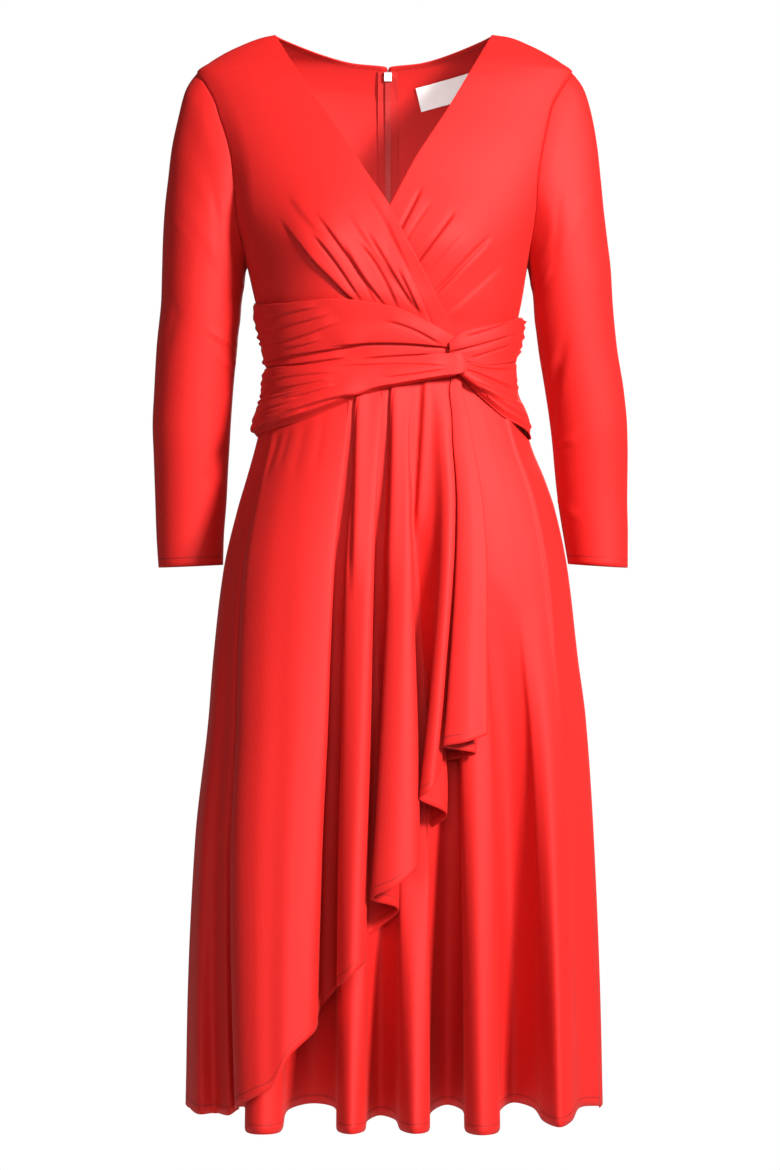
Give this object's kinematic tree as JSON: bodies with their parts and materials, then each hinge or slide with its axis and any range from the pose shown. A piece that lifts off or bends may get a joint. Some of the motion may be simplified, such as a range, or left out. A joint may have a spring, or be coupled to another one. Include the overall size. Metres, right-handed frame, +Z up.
{
  "type": "wrap dress",
  "caption": "Long-sleeved jersey midi dress with a crossed V front, ruched and knotted waistband, cascade overlay skirt and back zip.",
  "frame": {"origin": "midway between the two neck points, at the height of the shoulder tops, where the wearer's shoulders hold it", "axes": "+X to the wearer's left, -Y to the front, +Z up"},
  "size_m": [0.507, 0.356, 1.134],
  "materials": {
    "jersey": "matte",
    "zip_tape": "matte",
    "zip_nylon": "satin",
    "zip_metal": "polished",
    "label": "satin"
  },
  "bodies": {
    "dress": {"bodice_right_front": "jersey", "bodice_left_front": "jersey", "bodice_back_right": "jersey", "bodice_back_left": "jersey", "sleeve_right": "jersey", "sleeve_left": "jersey", "band_upper_right": "jersey", "band_lower_right": "jersey", "band_upper_left": "jersey", "band_lower_left": "jersey", "skirt_front": "jersey", "skirt_overlay": "jersey", "skirt_back_right": "jersey", "skirt_back_left": "jersey", "zip_tape_right": "zip_tape", "zip_tape_left": "zip_tape", "zip_chain": "zip_nylon", "zip_slider": "zip_metal", "label_blank": "label"},
    "pull_tab": {"zip_pull_tab": "zip_metal"}
  },
  "joints": [
    {"name": "pull_swing", "type": "hinge", "parent": "dress", "child": "pull_tab", "pos_m": [0, 0.07028, -0.02859], "axis": [1, 0, 0], "range_deg": [0, 140]}
  ]
}
